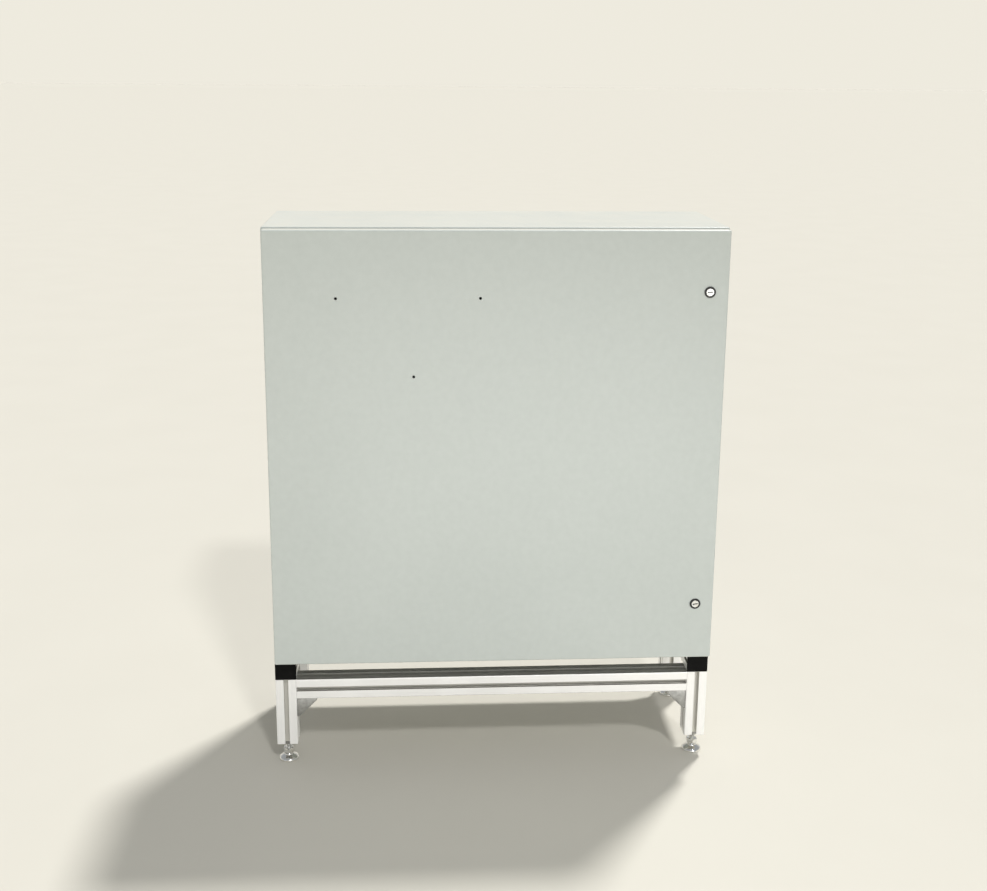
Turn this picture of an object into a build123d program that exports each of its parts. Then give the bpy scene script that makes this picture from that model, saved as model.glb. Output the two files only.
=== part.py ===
from build123d import *
import os

# Electrical enclosure on a slotted-aluminium stand.
# Millimetres, +Z up, the door faces -Y. The origin is on the floor, in the middle of the plan.

os.makedirs("parts", exist_ok=True)

# Cabinet
body_width = 940.0
body_height = 930.0
body_depth = 303.0
body_sheet = 2.0
body_corner_radius = 4.0
body_edge_radius = 3.0
rim_flange = 22.5
rim_lip = 15.0
rim_corner_radius = 10.0

# Door
door_sheet = 2.0
door_depth = 24.0
door_reveal = 3.0
door_standoff = 3.0
door_bend_radius = 3.5
door_opening_diameter = 6.0
door_opening_pair_left = -323.0
door_opening_pair_right = -35.0
door_opening_pair_height = 790.5
door_opening_single_x = -169.0
door_opening_single_height = 630.0

# Door seal and stiffening rails
seal_width = 8.0
seal_clearance = 0.3
door_rail_width = 25.0
door_rail_depth = 12.0
door_rail_foot = 8.0
door_rail_sheet = 1.5
door_rail_end_gap = 60.0
door_rail_seal_gap = 7.0
door_rail_nut_gap = 9.0
door_rail_slot_length = 20.0
door_rail_slot_width = 8.0
door_rail_slot_pitch = 50.0

# Concealed hinges
hinge_inset = 6.5
hinge_back = 16.0
hinge_end_distance = 150.0
pin_diameter = 5.0
pin_head_diameter = 8.0
pin_head_height = 2.0
running_clearance = 0.05
knuckle_wall = 1.65
knuckle_gap = 0.4
body_knuckle_length = 24.0
door_knuckle_length = 15.0
hinge_plate = 2.5
hinge_web = 5.0
hinge_plate_width = 13.0
hinge_leaf_shift = 1.0
notch_clearance = 3.0
notch_start = 5.0

# Quarter-turn latches
latch_inset = 38.5
latch_end_distance = 125.0
latch_ring_diameter = 23.0
latch_ring_proud = 2.5
latch_ring_chamfer = 1.0
latch_body_diameter = 18.0
latch_core_diameter = 15.0
latch_core_thickness = 3.0
latch_shaft_diameter = 11.0
latch_square = 7.0
latch_slot_width = 2.2
latch_slot_length = 11.0
latch_slot_depth = 1.6
latch_slot_tilt = 8.0
latch_nut_flats = 22.0
latch_nut_thickness = 6.0
cam_length = 30.0
cam_width = 16.0
cam_thickness = 3.0
cam_clearance = 0.3
cam_stud_diameter = 6.0
cam_nut_flats = 10.0
cam_nut_thickness = 5.0
cam_stud_tail = 1.0

# Mounting plate
plate_edge_gap = 48.0
plate_sheet = 2.5
plate_fold = 12.0
plate_standoff = 18.0
plate_stud_inset = 25.0
plate_stud_diameter = 8.0
plate_collar_diameter = 14.0
plate_stud_reach = 16.0

# Cable-entry plate in the floor
gland_opening_length = 300.0
gland_opening_width = 100.0
gland_margin = 20.0
gland_plate_thickness = 2.5
gland_gasket_thickness = 3.0
gland_screw_diameter = 5.0
gland_screw_tail = 6.0

# Wall fixing holes and bonding studs
wall_hole_diameter = 9.0
wall_hole_inset = 28.0
earth_stud_diameter = 8.0
earth_stud_length = 18.0
earth_stud_distance = 144.0
door_earth_stud_distance = 50.0

# Slotted bars of the stand
bar_side = 45.0
bar_corner_radius = 2.0
slot_mouth = 10.0
slot_lip = 4.5
slot_inner_width = 20.0
slot_step = 2.8
slot_depth = 12.5
bar_bore_diameter = 12.0
corner_cavity = 5.5
corner_cavity_inset = 3.6
leg_length = 152.0
cap_thickness = 4.0
cap_edge_radius = 1.5
cap_peg_length = 9.0
cap_peg_clearance = 0.25

# Corner brackets
gusset_side = 43.0
gusset_width = 40.0
gusset_plate = 5.0
gusset_web = 4.0
gusset_hole_distance = 25.0

# Fasteners
screw_diameter = 8.0
hole_clearance = 0.5
shank_clearance = 0.1
slot_nut_length = 16.0
slot_nut_thickness = 5.0
slot_nut_clearance = 0.3
slot_nut_bottom_width = 13.0
enclosure_bolt_spacing = 120.0
rail_screw_head_diameter = 18.0
rail_screw_head_height = 8.0
rail_screw_socket = 10.0
rail_screw_engagement = 30.0

# Levelling feet
foot_height = 46.0
foot_pad_diameter = 43.0
foot_pad_height = 14.0
foot_pad_floor = 5.0
foot_pad_edge = 1.0
foot_pad_rim = 4.0
foot_pad_step = 3.0
foot_pad_collar = 3.0
spindle_button_overlap = 1.0
spindle_button_edge = 2.0
spindle_button_clearance = 0.2
spindle_end_chamfer = 1.0
foot_hex_flats = 22.0
foot_hex_height = 9.0
foot_neck = 4.0
foot_nut_flats = 19.0
foot_nut_height = 8.0
spindle_insertion = 50.0

# How far a cutting shape runs past the face that it cuts through
overcut = 1.0

# Places that follow from the sizes above. Depth is counted back from the door's front face.
overall_depth = latch_ring_proud + door_depth + door_standoff + body_depth
door_front_y = latch_ring_proud - overall_depth / 2
body_front = door_depth + door_standoff
body_back = body_front + body_depth
leg_top = foot_height + leg_length
body_bottom = leg_top + bar_side
body_top = body_bottom + body_height
body_middle = body_bottom + body_height / 2
door_width = body_width - 2 * door_reveal
door_height = body_height - 2 * door_reveal
door_bottom = body_bottom + door_reveal
door_top = body_top - door_reveal
latch_x = door_width / 2 - latch_inset
latch_heights = {"lower": door_bottom + latch_end_distance, "upper": door_top - latch_end_distance}
hinge_x = hinge_inset - door_width / 2
hinge_heights = {"lower": door_bottom + hinge_end_distance, "upper": door_top - hinge_end_distance}
knuckle_radius = pin_diameter / 2 + running_clearance + knuckle_wall
leg_x = body_width / 2 - bar_side / 2
leg_depths = {"front": body_front + bar_side / 2, "rear": body_back - bar_side / 2}
sides = {"left": -1, "right": 1}
rim_middle = rim_flange - body_sheet / 2
door_rail_half = door_rail_width / 2 + door_rail_foot
seal_inner_x = body_width / 2 - rim_middle - seal_width / 2
door_rail_left_x = door_rail_seal_gap + door_rail_half - seal_inner_x
door_rail_right_x = latch_x - latch_nut_flats / 2 - door_rail_nut_gap - door_rail_half


def place(x, depth, z):
    """A location from a sideways place, a depth behind the door's face and a height."""
    return Pos(x, door_front_y + depth, z)


def block(x_range, depth_range, z_range):
    """A box between two corners."""
    sizes = [high - low for low, high in (x_range, depth_range, z_range)]
    middles = [(low + high) / 2 for low, high in (x_range, depth_range, z_range)]
    return place(*middles) * Box(*sizes)


def front_plane(depth, z=body_middle):
    """A plane parallel to the door, facing the viewer, with its local Y pointing up."""
    return Plane(origin=(0, door_front_y + depth, z), x_dir=(1, 0, 0), z_dir=(0, -1, 0))


def backward(sketch, depth, length):
    """A sketch of the front view made into a solid that runs back from a depth."""
    return extrude(front_plane(depth) * sketch, amount=-length)


def round_bar(x, z, diameter, depth_start, depth_end):
    """A cylinder along the depth."""
    middle = (depth_start + depth_end) / 2
    return place(x, middle, z) * Rot(90, 0, 0) * Cylinder(diameter / 2, depth_end - depth_start)


def hexagon_sketch(across_flats):
    """A hexagon with two flats facing sideways."""
    return RegularPolygon(across_flats / 2, 6, major_radius=False, rotation=0)


def hex_bar(x, z, across_flats, depth_start, depth_end):
    """A hexagonal bar along the depth, with flats to the left and right."""
    outline = Pos(x, z - body_middle) * Rot(0, 0, 30) * hexagon_sketch(across_flats)
    return backward(outline, depth_start, depth_end - depth_start)


def ring_sketch(inset_outer, inset_inner, corner_radius):
    """A frame-shaped outline, given by how far in it lies from the cabinet's outside."""
    outer = RectangleRounded(body_width - 2 * inset_outer, body_height - 2 * inset_outer, corner_radius)
    inner_radius = corner_radius - (inset_inner - inset_outer) / 2
    inner = RectangleRounded(body_width - 2 * inset_inner, body_height - 2 * inset_inner, inner_radius)
    return outer - inner


def save(shape, node):
    """One file for each node. Several solids of one kind stay a group."""
    if isinstance(shape, list):
        shape = Compound(children=shape)
    export_step(shape, "parts/" + node + ".step")


def enclosure_body():
    """Folded wrapper and welded back, with a flange and a raised rim round the front opening."""
    outline = RectangleRounded(body_width, body_height, body_corner_radius)
    outside = backward(outline, body_front, body_depth)
    rear_edges = outside.faces().sort_by(Axis.Y)[-1].edges()
    outside = fillet(rear_edges, body_edge_radius)
    front_edges = outside.faces().sort_by(Axis.Y)[0].edges()
    outside = fillet(front_edges, body_edge_radius)
    hollow_outline = RectangleRounded(
        body_width - 2 * body_sheet, body_height - 2 * body_sheet, body_corner_radius - body_sheet
    )
    hollow = backward(hollow_outline, body_front + body_sheet, body_depth - 2 * body_sheet)
    shell = outside - hollow
    mouth = RectangleRounded(
        body_width - 2 * rim_flange, body_height - 2 * rim_flange, rim_corner_radius - body_sheet
    )
    shell -= backward(mouth, body_front - overcut, body_sheet + 2 * overcut)
    rim = backward(
        ring_sketch(rim_flange - body_sheet, rim_flange, rim_corner_radius),
        body_front - rim_lip,
        rim_lip + body_sheet,
    )
    shell += rim

    for x in (-1, 1):
        for z in (-1, 1):
            hole_x = x * (body_width / 2 - wall_hole_inset)
            hole_z = body_middle + z * (body_height / 2 - wall_hole_inset)
            inner_face = body_back - body_sheet - overcut
            shell -= round_bar(hole_x, hole_z, wall_hole_diameter, inner_face, body_back + overcut)
    shell -= gland_opening(body_bottom - overcut, body_bottom + body_sheet + overcut)
    for x, depth in gland_screw_places():
        shell -= place(x, depth, body_bottom) * Cylinder(
            gland_screw_diameter / 2 + shank_clearance, 4 * body_sheet
        )
    for x, depth in enclosure_bolt_places():
        shell -= place(x, depth, body_bottom) * Cylinder(
            (screw_diameter + hole_clearance) / 2, 4 * body_sheet
        )
    return shell


def gland_opening(z_low, z_high):
    """The rectangular cable opening in the floor."""
    middle = (body_front + body_back) / 2
    half_width = gland_opening_width / 2
    half_length = gland_opening_length / 2
    return block(
        (-half_length, half_length), (middle - half_width, middle + half_width), (z_low, z_high)
    )


def gland_screw_places():
    """Sideways place and depth of the eight screws round the cable opening."""
    middle = (body_front + body_back) / 2
    half_length = (gland_opening_length + gland_margin) / 2
    half_width = (gland_opening_width + gland_margin) / 2
    corners = [(x, z) for x in (-half_length, half_length) for z in (-half_width, half_width)]
    edges = [(x, z) for x in (-half_length / 3, half_length / 3) for z in (-half_width, half_width)]
    return [(x, middle + z) for x, z in corners + edges]


def enclosure_bolt_places():
    """Sideways place and depth of the four bolts that hold the cabinet on the side rails."""
    middle = (body_front + body_back) / 2
    half = enclosure_bolt_spacing / 2
    return [(x * leg_x, middle + side * half) for x in (-1, 1) for side in (-1, 1)]


def gland_parts():
    """Cable-entry plate, its gasket and its screws, on top of the floor."""
    middle = (body_front + body_back) / 2
    floor = body_bottom + body_sheet
    outline = Rectangle(
        gland_opening_length + 2 * gland_margin, gland_opening_width + 2 * gland_margin
    )
    window = Rectangle(gland_opening_length, gland_opening_width)
    gasket = extrude(place(0, middle, floor) * (outline - window), amount=gland_gasket_thickness)
    plate_bottom = floor + gland_gasket_thickness
    plate = extrude(place(0, middle, plate_bottom) * outline, amount=gland_plate_thickness)
    plate_top = plate_bottom + gland_plate_thickness
    screws = []
    for x, depth in gland_screw_places():
        hole_length = 4 * (gland_gasket_thickness + gland_plate_thickness)
        hole = Cylinder(gland_screw_diameter / 2 + shank_clearance, hole_length)
        hole = place(x, depth, plate_bottom) * hole
        gasket -= hole
        plate -= hole
        reach = plate_top - body_bottom + gland_screw_tail
        screws.append(place(x, depth, plate_top) * flanged_screw(gland_screw_diameter, reach))
    return plate, gasket, screws


def flanged_screw(diameter, reach):
    """A hexagon screw with a flange under its head. The seat is at the origin, the shank points down."""
    flange_diameter = diameter * 2.1
    flange_height = diameter * 0.2
    head_flats = diameter * 1.6
    head_height = diameter * 0.6
    flange = Pos(0, 0, flange_height / 2) * Cylinder(flange_diameter / 2, flange_height)
    head = extrude(Pos(0, 0, flange_height) * hexagon_sketch(head_flats), amount=head_height)
    shank = Pos(0, 0, -reach / 2) * Cylinder(diameter / 2, reach)
    return flange + head + shank


def socket_screw(diameter, reach):
    """A round-headed screw with a hexagon socket. The seat is at the origin, the shank points down."""
    head_diameter = diameter * 1.7
    head_height = diameter * 0.55
    head_edge = diameter * 0.25
    socket_flats = diameter * 0.6
    head = Pos(0, 0, head_height / 2) * Cylinder(head_diameter / 2, head_height)
    head = fillet(head.edges().sort_by(Axis.Z)[-1], head_edge)
    socket = extrude(Pos(0, 0, head_height / 2) * hexagon_sketch(socket_flats), amount=head_height)
    shank = Pos(0, 0, -reach / 2) * Cylinder(diameter / 2, reach)
    return head - socket + shank


def nut(across_flats, height, bore):
    """A hexagon nut that stands on the origin."""
    return extrude(hexagon_sketch(across_flats) - Circle(bore / 2), amount=height)


def door():
    """Folded pan with the openings for the latches, three drilled holes and the hinge notches."""
    outline = RectangleRounded(door_width, door_height, door_bend_radius)
    outside = backward(outline, 0, door_depth)
    outside = fillet(outside.faces().sort_by(Axis.Y)[0].edges(), door_bend_radius)
    inner_radius = door_bend_radius - door_sheet
    inner_outline = RectangleRounded(
        door_width - 2 * door_sheet, door_height - 2 * door_sheet, inner_radius
    )
    hollow = backward(inner_outline, door_sheet, door_depth)
    hollow = fillet(hollow.faces().sort_by(Axis.Y)[0].edges(), inner_radius)
    pan = outside - hollow
    for x, z in door_opening_places():
        pan -= round_bar(x, z, door_opening_diameter, -overcut, door_sheet + overcut)
    for z in latch_heights.values():
        latch_hole = latch_body_diameter + 2 * shank_clearance
        pan -= round_bar(latch_x, z, latch_hole, -overcut, door_sheet + overcut)
    notch_half = body_knuckle_length / 2 + knuckle_gap + notch_clearance
    for z in hinge_heights.values():
        pan -= block(
            (-door_width / 2 - overcut, -door_width / 2 + door_sheet),
            (notch_start, door_depth + overcut),
            (z - notch_half, z + notch_half),
        )
    return pan


def door_opening_places():
    """Sideways place and height of the three drilled holes."""
    pair_z = door_bottom + door_opening_pair_height - door_reveal
    single_z = door_bottom + door_opening_single_height - door_reveal
    return [
        (door_opening_pair_left, pair_z),
        (door_opening_pair_right, pair_z),
        (door_opening_single_x, single_z),
    ]


def door_gasket():
    """A continuous foam seal in the door that faces the cabinet's raised rim."""
    seal_corner_radius = rim_corner_radius + (seal_width - body_sheet) / 2
    seal = ring_sketch(rim_middle - seal_width / 2, rim_middle + seal_width / 2, seal_corner_radius)
    thickness = body_front - rim_lip - seal_clearance - door_sheet
    return backward(seal, door_sheet, thickness)


def door_rail(x):
    """A perforated stiffening rail: a hat-shaped strip with a row of slots in its crown."""
    half = door_rail_width / 2
    sheet = door_rail_sheet
    outside = [
        (-half - door_rail_foot, 0),
        (-half - door_rail_foot, sheet),
        (-half, sheet),
        (-half, door_rail_depth),
        (half, door_rail_depth),
        (half, sheet),
        (half + door_rail_foot, sheet),
        (half + door_rail_foot, 0),
        (half - sheet, 0),
        (half - sheet, door_rail_depth - sheet),
        (sheet - half, door_rail_depth - sheet),
        (sheet - half, 0),
    ]
    length = door_height - 2 * door_rail_end_gap
    section = make_face(Polyline(outside, close=True))
    section = place(x, door_sheet, door_bottom + door_rail_end_gap) * section
    rail = extrude(section, amount=length)
    count = int((length - door_rail_slot_pitch) // door_rail_slot_pitch) + 1
    first = body_middle - (count - 1) * door_rail_slot_pitch / 2
    for number in range(count):
        z = first + number * door_rail_slot_pitch
        rail -= block(
            (x - door_rail_slot_width / 2, x + door_rail_slot_width / 2),
            (door_sheet + door_rail_depth - 2 * sheet, door_sheet + door_rail_depth + overcut),
            (z - door_rail_slot_length / 2, z + door_rail_slot_length / 2),
        )
    return rail


def knuckle(z_low, z_high):
    """One barrel of a hinge, bored for the pin."""
    middle = (z_low + z_high) / 2
    length = z_high - z_low
    bore = Cylinder(pin_diameter / 2 + running_clearance, length + 2 * overcut)
    return place(hinge_x, hinge_back, middle) * (Cylinder(knuckle_radius, length) - bore)


def hinge_web_block(depth_range, z_range):
    """The web between a barrel and its base plate, with room for the pin."""
    web = block((hinge_x - hinge_web / 2, hinge_x + hinge_web / 2), depth_range, z_range)
    z_low, z_high = z_range
    bore_length = z_high - z_low + 2 * overcut
    bore = Cylinder(pin_diameter / 2 + running_clearance + knuckle_wall / 2, bore_length)
    return web - place(hinge_x, hinge_back, (z_low + z_high) / 2) * bore


def hinge_body_leaf(z):
    """The cabinet's half: a plate welded in the rain channel, a web and one barrel."""
    half = body_knuckle_length / 2
    plate_left = hinge_x - hinge_plate_width / 2 + hinge_leaf_shift
    leaf = block(
        (plate_left, plate_left + hinge_plate_width),
        (body_front - hinge_plate, body_front),
        (z - half, z + half),
    )
    leaf += hinge_web_block((hinge_back, body_front - hinge_plate), (z - half, z + half))
    return leaf + knuckle(z - half, z + half)


def hinge_door_leaf(z):
    """The door's half: a plate welded to the door, and a web and a barrel above and below."""
    start = body_knuckle_length / 2 + knuckle_gap
    end = start + door_knuckle_length
    plate_left = hinge_door_plate_left()
    plate_right = hinge_x + hinge_plate_width / 2
    leaf = block((plate_left, plate_right), (door_sheet, door_sheet + hinge_plate), (z - end, z + end))
    for low, high in ((z - end, z - start), (z + start, z + end)):
        leaf += hinge_web_block((door_sheet + hinge_plate, hinge_back), (low, high))
        leaf += knuckle(low, high)
    return leaf


def hinge_door_plate_left():
    """The left edge of the door's hinge plate, just inside the door's folded edge."""
    return -door_width / 2 + door_bend_radius


def hinge_pin(z):
    """A plain pin with a flat head above the door's upper barrel."""
    reach = body_knuckle_length / 2 + knuckle_gap + door_knuckle_length
    bottom = z - reach
    seat = z + reach + knuckle_gap
    shaft = place(hinge_x, hinge_back, (bottom + seat) / 2) * Cylinder(pin_diameter / 2, seat - bottom)
    head = place(hinge_x, hinge_back, seat + pin_head_height / 2)
    return shaft + head * Cylinder(pin_head_diameter / 2, pin_head_height)


def latch_depths():
    """Depths of the cam's front and back face, behind the cabinet's front flange."""
    front = body_front + body_sheet + cam_clearance
    return front, front + cam_thickness


def latch_housing(z):
    """Flanged housing with a recess for the slotted insert and a bore for its shaft."""
    cam_front, cam_back = latch_depths()
    housing = round_bar(latch_x, z, latch_ring_diameter, -latch_ring_proud, 0)
    housing = chamfer(housing.edges().filter_by(GeomType.CIRCLE).sort_by(Axis.Y)[0], latch_ring_chamfer)
    housing += round_bar(latch_x, z, latch_body_diameter, 0, cam_front - cam_clearance)
    recess = latch_core_diameter + 2 * shank_clearance
    recess_end = latch_core_thickness - latch_ring_proud
    housing -= round_bar(latch_x, z, recess, -latch_ring_proud - overcut, recess_end)
    bore = latch_shaft_diameter + 2 * running_clearance
    return housing - round_bar(latch_x, z, bore, recess_end - overcut, cam_back)


def latch_nut(z):
    """Flat nut that clamps the housing to the door."""
    blank = hex_bar(latch_x, z, latch_nut_flats, door_sheet, door_sheet + latch_nut_thickness)
    bore = latch_body_diameter + 2 * shank_clearance
    return blank - round_bar(latch_x, z, bore, 0, door_sheet + latch_nut_thickness + overcut)


def latch_core(z):
    """Slotted insert with its shaft, a square for the cam and a threaded end."""
    cam_front, cam_back = latch_depths()
    face = shank_clearance - latch_ring_proud
    disc_back = face + latch_core_thickness - 2 * shank_clearance
    core = round_bar(latch_x, z, latch_core_diameter, face, disc_back)
    core += round_bar(latch_x, z, latch_shaft_diameter, disc_back, cam_front)
    square_outline = Pos(latch_x, z - body_middle) * Rectangle(latch_square, latch_square)
    core += backward(square_outline, cam_front, cam_thickness)
    core += round_bar(latch_x, z, cam_stud_diameter, cam_back, cam_back + cam_nut_thickness + cam_stud_tail)
    slot_outline = Pos(latch_x, z - body_middle) * Rot(0, 0, latch_slot_tilt)
    slot_outline *= Rectangle(latch_slot_length, latch_slot_width)
    return core - backward(slot_outline, face - overcut, latch_slot_depth + overcut)


def latch_cam(z):
    """Flat cam that hangs down when the latch is open and turns behind the flange to close it."""
    cam_front, cam_back = latch_depths()
    radius = cam_width / 2
    straight = cam_length - radius
    outline = Circle(radius) + Pos(0, -straight / 2) * Rectangle(cam_width, straight)
    outline += Pos(0, -straight) * Circle(radius)
    outline -= Rectangle(latch_square + 2 * shank_clearance, latch_square + 2 * shank_clearance)
    return backward(Pos(latch_x, z - body_middle) * outline, cam_front, cam_thickness)


def latch_cam_nut(z):
    """Nut that holds the cam on the insert's square."""
    cam_front, cam_back = latch_depths()
    blank = hex_bar(latch_x, z, cam_nut_flats, cam_back, cam_back + cam_nut_thickness)
    bore = cam_stud_diameter + 2 * shank_clearance
    return blank - round_bar(latch_x, z, bore, cam_front, cam_back + cam_nut_thickness + overcut)


def plate_stud_places():
    """Sideways place and height of the mounting plate's four studs."""
    half_width = body_width / 2 - plate_edge_gap - plate_stud_inset
    half_height = body_height / 2 - plate_edge_gap - plate_stud_inset
    return [(x * half_width, body_middle + z * half_height) for x in (-1, 1) for z in (-1, 1)]


def plate_back():
    """Depth of the mounting plate's rear face."""
    return body_back - body_sheet - plate_standoff


def mounting_plate():
    """Flat plate with all four edges folded towards the back wall and notched corners."""
    width = body_width - 2 * plate_edge_gap
    height = body_height - 2 * plate_edge_gap
    front = plate_back() - plate_sheet
    plate = backward(Rectangle(width, height), front, plate_sheet)
    fold = 2 * plate_fold
    across = Rectangle(width, height - fold) - Rectangle(width - 2 * plate_sheet, height - fold)
    upright = Rectangle(width - fold, height) - Rectangle(width - fold, height - 2 * plate_sheet)
    plate += backward(across, front, plate_fold)
    plate += backward(upright, front, plate_fold)
    corner = Rectangle(width, height) - Rectangle(width - fold, height) - Rectangle(width, height - fold)
    plate -= backward(corner, front - overcut, plate_sheet + 2 * overcut)
    for x, z in plate_stud_places():
        hole = plate_stud_diameter + hole_clearance
        plate -= round_bar(x, z, hole, front - overcut, plate_back() + overcut)
    return plate


def plate_stud(x, z):
    """Stud welded to the back wall, with a collar that sets the plate's distance."""
    wall = body_back - body_sheet
    front = plate_back() - plate_sheet - plate_stud_reach
    stud = round_bar(x, z, plate_collar_diameter, plate_back(), wall)
    return stud + round_bar(x, z, plate_stud_diameter, front, plate_back())


def plate_nut(x, z):
    """Nut in front of the mounting plate."""
    nut_height = plate_stud_diameter * 0.8
    nut_flats = plate_stud_diameter * 1.6
    back = plate_back() - plate_sheet
    front = back - nut_height
    bore = plate_stud_diameter + 2 * shank_clearance
    blank = hex_bar(x, z, nut_flats, front, back)
    return blank - round_bar(x, z, bore, front - overcut, back + overcut)


def body_earth_stud():
    """Bonding stud welded to the cabinet's floor."""
    floor = body_bottom + body_sheet
    x = earth_stud_distance - body_width / 2
    stud = Cylinder(earth_stud_diameter / 2, earth_stud_length)
    return place(x, body_front + bar_side / 2, floor + earth_stud_length / 2) * stud


def door_earth_stud():
    """Bonding stud welded to the inside of the door, beside the lower hinge."""
    x = door_rail_left_x + door_earth_stud_distance
    z = hinge_heights["lower"]
    return round_bar(x, z, earth_stud_diameter, door_sheet, door_sheet + earth_stud_length)


def bar_section():
    """Square section with four T-shaped slots, a central bore and four corner cavities."""
    half = bar_side / 2
    mouth = slot_mouth / 2
    inner = slot_inner_width / 2
    shoulder = half - slot_lip
    floor = half - slot_depth
    slope_start = shoulder - slot_step
    slope = slope_start - floor
    slot = make_face(Polyline(
        (-mouth, half + overcut), (-mouth, shoulder), (-inner, shoulder), (-inner, slope_start),
        (slope - inner, floor), (inner - slope, floor),
        (inner, slope_start), (inner, shoulder), (mouth, shoulder), (mouth, half + overcut),
        close=True,
    ))
    section = RectangleRounded(bar_side, bar_side, bar_corner_radius)
    cavity_place = half - corner_cavity_inset - corner_cavity / 2
    for quarter in range(4):
        section -= Rot(0, 0, 90 * quarter) * slot
        section -= Rot(0, 0, 90 * quarter) * Pos(cavity_place, cavity_place) * Rectangle(
            corner_cavity, corner_cavity
        )
    return section - Circle(bar_bore_diameter / 2)


def slotted_bar(length):
    """A length of the slotted bar that stands on the origin."""
    return extrude(bar_section(), amount=length)


def leg(side, end):
    """A short upright."""
    return place(side * leg_x, leg_depths[end], foot_height) * slotted_bar(leg_length)


def side_rail(side):
    """The bar under one side of the cabinet, with access holes for the screws into the legs."""
    length = body_depth - 2 * cap_thickness
    rail = place(side * leg_x, body_front + cap_thickness, leg_top + bar_side / 2)
    rail *= Rot(-90, 0, 0) * slotted_bar(length)
    core_top = body_bottom - slot_depth
    for depth in leg_depths.values():
        access = Cylinder(rail_screw_head_diameter / 2 + hole_clearance, 2 * slot_depth)
        rail -= place(side * leg_x, depth, core_top + slot_depth) * access
        through = Cylinder(bar_bore_diameter / 2, 2 * bar_side)
        rail -= place(side * leg_x, depth, leg_top) * through
    return rail


def crossbar(end):
    """The bar between two legs, level with their tops."""
    length = 2 * leg_x - bar_side
    bar = place(-length / 2, leg_depths[end], leg_top - bar_side / 2)
    return bar * Rot(0, 90, 0) * slotted_bar(length)


def end_cap(side, end):
    """Plastic cap with four pegs that push into the bar's corner cavities."""
    outward = -1 if end == "front" else 1
    face_depth = body_front if end == "front" else body_back
    plate = extrude(RectangleRounded(bar_side, bar_side, bar_corner_radius), amount=cap_thickness)
    plate = fillet(plate.faces().sort_by(Axis.Z)[-1].edges(), cap_edge_radius)
    peg_side = corner_cavity - 2 * cap_peg_clearance
    peg_place = bar_side / 2 - corner_cavity_inset - corner_cavity / 2
    for x in (-1, 1):
        for y in (-1, 1):
            peg = Pos(x * peg_place, y * peg_place) * Rectangle(peg_side, peg_side)
            plate += extrude(peg, amount=-cap_peg_length)
    seat = place(side * leg_x, face_depth - outward * cap_thickness, leg_top + bar_side / 2)
    return seat * Rot(-90 * outward, 0, 0) * plate


def gusset(side, end):
    """Cast corner bracket: two drilled plates joined by two triangular webs."""
    thick = gusset_plate
    outline = make_face(Polyline(
        (0, 0), (gusset_side, 0), (gusset_side, -thick), (thick, -gusset_side), (0, -gusset_side),
        close=True,
    ))
    bracket = extrude(Plane.XZ * outline, amount=gusset_width / 2, both=True)
    reach = gusset_side + overcut
    pocket = make_face(Polyline((thick, -thick), (reach, -thick), (reach, -reach), (thick, -reach), close=True))
    bracket -= extrude(Plane.XZ * pocket, amount=gusset_width / 2 - gusset_web, both=True)
    hole = Cylinder((screw_diameter + hole_clearance) / 2, 3 * thick)
    bracket -= Pos(gusset_hole_distance, 0, 0) * hole
    bracket -= Pos(0, 0, -gusset_hole_distance) * Rot(0, 90, 0) * hole
    if side > 0:
        bracket = mirror(bracket, about=Plane.YZ)
    return gusset_corner(side, end) * bracket


def gusset_corner(side, end):
    """Where a leg's inner face meets the underside of a crossbar."""
    return place(side * (leg_x - bar_side / 2), leg_depths[end], leg_top - bar_side)


def slot_nut():
    """A nut in a slot, with its top against the slot's lips. The bar's face is at the origin."""
    half_top = slot_inner_width / 2 - slot_nut_clearance
    half_bottom = slot_nut_bottom_width / 2
    top = -slot_lip
    bottom = top - slot_nut_thickness
    neck = slot_mouth / 2 - slot_nut_clearance
    side_end = top - slot_step + slot_nut_clearance
    outline = make_face(Polyline(
        (-neck, -slot_nut_clearance), (-neck, top), (-half_top, top), (-half_top, side_end),
        (-half_bottom, bottom), (half_bottom, bottom), (half_top, side_end),
        (half_top, top), (neck, top), (neck, -slot_nut_clearance),
        close=True,
    ))
    body = extrude(Plane.XZ * outline, amount=slot_nut_length / 2, both=True)
    return body - Cylinder(screw_diameter / 2 + shank_clearance, 4 * slot_depth)


def fastener_places():
    """Locations of the screws that end in slot nuts, as (bar face, clamped thickness) pairs.

    Each location has its local +Z pointing out of the bar's face and its local Y along the slot.
    """
    floor_bolts = [
        (place(x, depth, body_bottom), body_sheet) for x, depth in enclosure_bolt_places()
    ]
    gusset_bolts = []
    for side in sides.values():
        for end in leg_depths:
            corner = gusset_corner(side, end)
            under_bar = corner * Pos(-side * gusset_hole_distance, 0, 0) * Rot(180, 0, 90)
            on_leg = corner * Pos(0, 0, -gusset_hole_distance) * Rot(0, -side * 90, 90)
            gusset_bolts += [(under_bar, gusset_plate), (on_leg, gusset_plate)]
    return floor_bolts, gusset_bolts


def clamping_screws():
    """Floor bolts, bracket screws and the slot nuts that they reach."""
    floor_bolts, gusset_bolts = fastener_places()
    tail = slot_lip + slot_nut_thickness
    bolts = [
        at * Pos(0, 0, thick) * flanged_screw(screw_diameter, thick + tail) for at, thick in floor_bolts
    ]
    screws = [
        at * Pos(0, 0, thick) * socket_screw(screw_diameter, thick + tail) for at, thick in gusset_bolts
    ]
    nuts = [at * slot_nut() for at, thick in floor_bolts + gusset_bolts]
    return bolts, screws, nuts


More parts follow.
